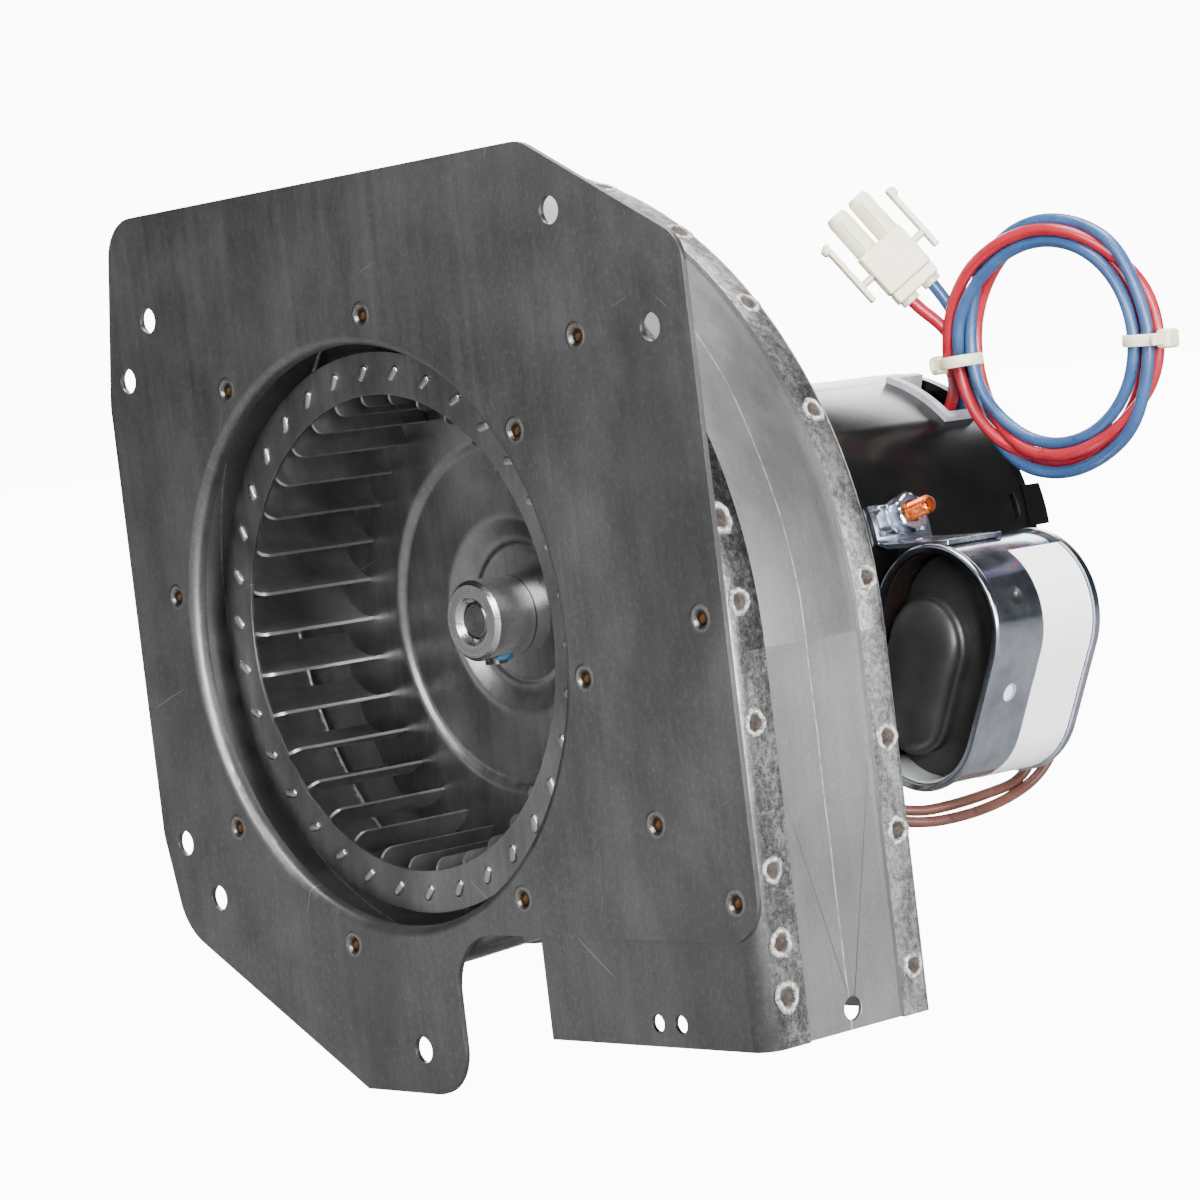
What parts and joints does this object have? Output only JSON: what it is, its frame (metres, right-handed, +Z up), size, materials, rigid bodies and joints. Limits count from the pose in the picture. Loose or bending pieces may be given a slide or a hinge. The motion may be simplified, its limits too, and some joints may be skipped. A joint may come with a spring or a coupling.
{
  "type": "combustion fan",
  "caption": "Combustion air blower: sheet-steel mounting plate with round inlet, scroll housing with forward-curved wheel, black motor with side capacitor, coiled leads and plug.",
  "frame": {"origin": "centre of the round inlet, in the plane of the mounting plate's front face", "axes": "+Y along the fan's axis into the housing and motor, +X to the right and +Z up as seen from the front, outlet pointing to -Z"},
  "size_m": [0.1946, 0.1685, 0.1933],
  "materials": {
    "dark_sheet_steel": "dark mottled aluminised sheet, fine scratches",
    "bright_sheet_steel": "lighter rolled aluminised sheet",
    "machined_steel": "turned, bright",
    "zinc_plated_steel": "bright bluish zinc plating",
    "copper_weld_stud": "copper flashed thread",
    "black_motor_paint": "semi-gloss black",
    "electrical_steel": "stamped laminations",
    "winding_enamel": "varnished copper wire",
    "cast_aluminium": "as cast",
    "sintered_bronze": "oil filled, dull",
    "can_aluminium": "drawn, satin",
    "amber_liner": "translucent amber insulating sheet",
    "black_rubber": "moulded, satin",
    "white_label": "blank white film",
    "natural_nylon": "natural white, slightly waxy",
    "tinned_brass": "tin plated",
    "red_pvc": "smooth lead insulation",
    "blue_pvc": "smooth lead insulation",
    "mixed_pvc": "red and blue leads hanked together",
    "brown_pvc": "smooth lead insulation",
    "grey_bushing": "moulded lip"
  },
  "bodies": {
    "housing": {"mounting_plate": "dark_sheet_steel", "scroll_front_panel": "dark_sheet_steel", "scroll_wrapper": "bright_sheet_steel", "scroll_back_panel": "dark_sheet_steel", "front_end_shield": "black_motor_paint", "rear_end_shield": "black_motor_paint", "motor_shell": "black_motor_paint", "lead_bushing": "grey_bushing", "stator_core": "electrical_steel", "stator_windings": "winding_enamel", "front_bearing": "sintered_bronze", "rear_bearing": "sintered_bronze", "through_bolts": "zinc_plated_steel", "through_bolt_nuts": "zinc_plated_steel", "motor_spacers": "zinc_plated_steel", "capacitor_shield": "zinc_plated_steel", "capacitor_liner": "amber_liner", "capacitor_can": "can_aluminium", "capacitor_boot": "black_rubber", "capacitor_label": "white_label", "capacitor_bracket": "zinc_plated_steel", "bracket_stud": "copper_weld_stud", "bracket_washer": "zinc_plated_steel", "bracket_nut": "zinc_plated_steel", "red_lead_exit": "red_pvc", "blue_lead_exit": "blue_pvc", "red_lead_end": "red_pvc", "blue_lead_end": "blue_pvc", "capacitor_lead_1": "brown_pvc", "capacitor_lead_2": "brown_pvc", "lead_coil": "mixed_pvc", "cable_tie_left": "natural_nylon", "cable_tie_right": "natural_nylon", "connector_housing": "natural_nylon", "connector_terminals": "tinned_brass"},
    "rotor": {"wheel_front_ring": "dark_sheet_steel", "wheel_blades": "bright_sheet_steel", "wheel_back_disc": "bright_sheet_steel", "wheel_hub": "machined_steel", "hub_set_screw": "machined_steel", "motor_shaft": "machined_steel", "cooling_fan": "black_rubber", "rotor_core": "electrical_steel", "rotor_end_rings": "cast_aluminium", "thrust_washers": "natural_nylon", "retaining_rings": "machined_steel"}
  },
  "joints": [
    {"name": "wheel_spin", "type": "hinge", "parent": "housing", "child": "rotor", "pos_m": [0, 0, 0], "axis": [0, 1, 0], "continuous": true}
  ]
}
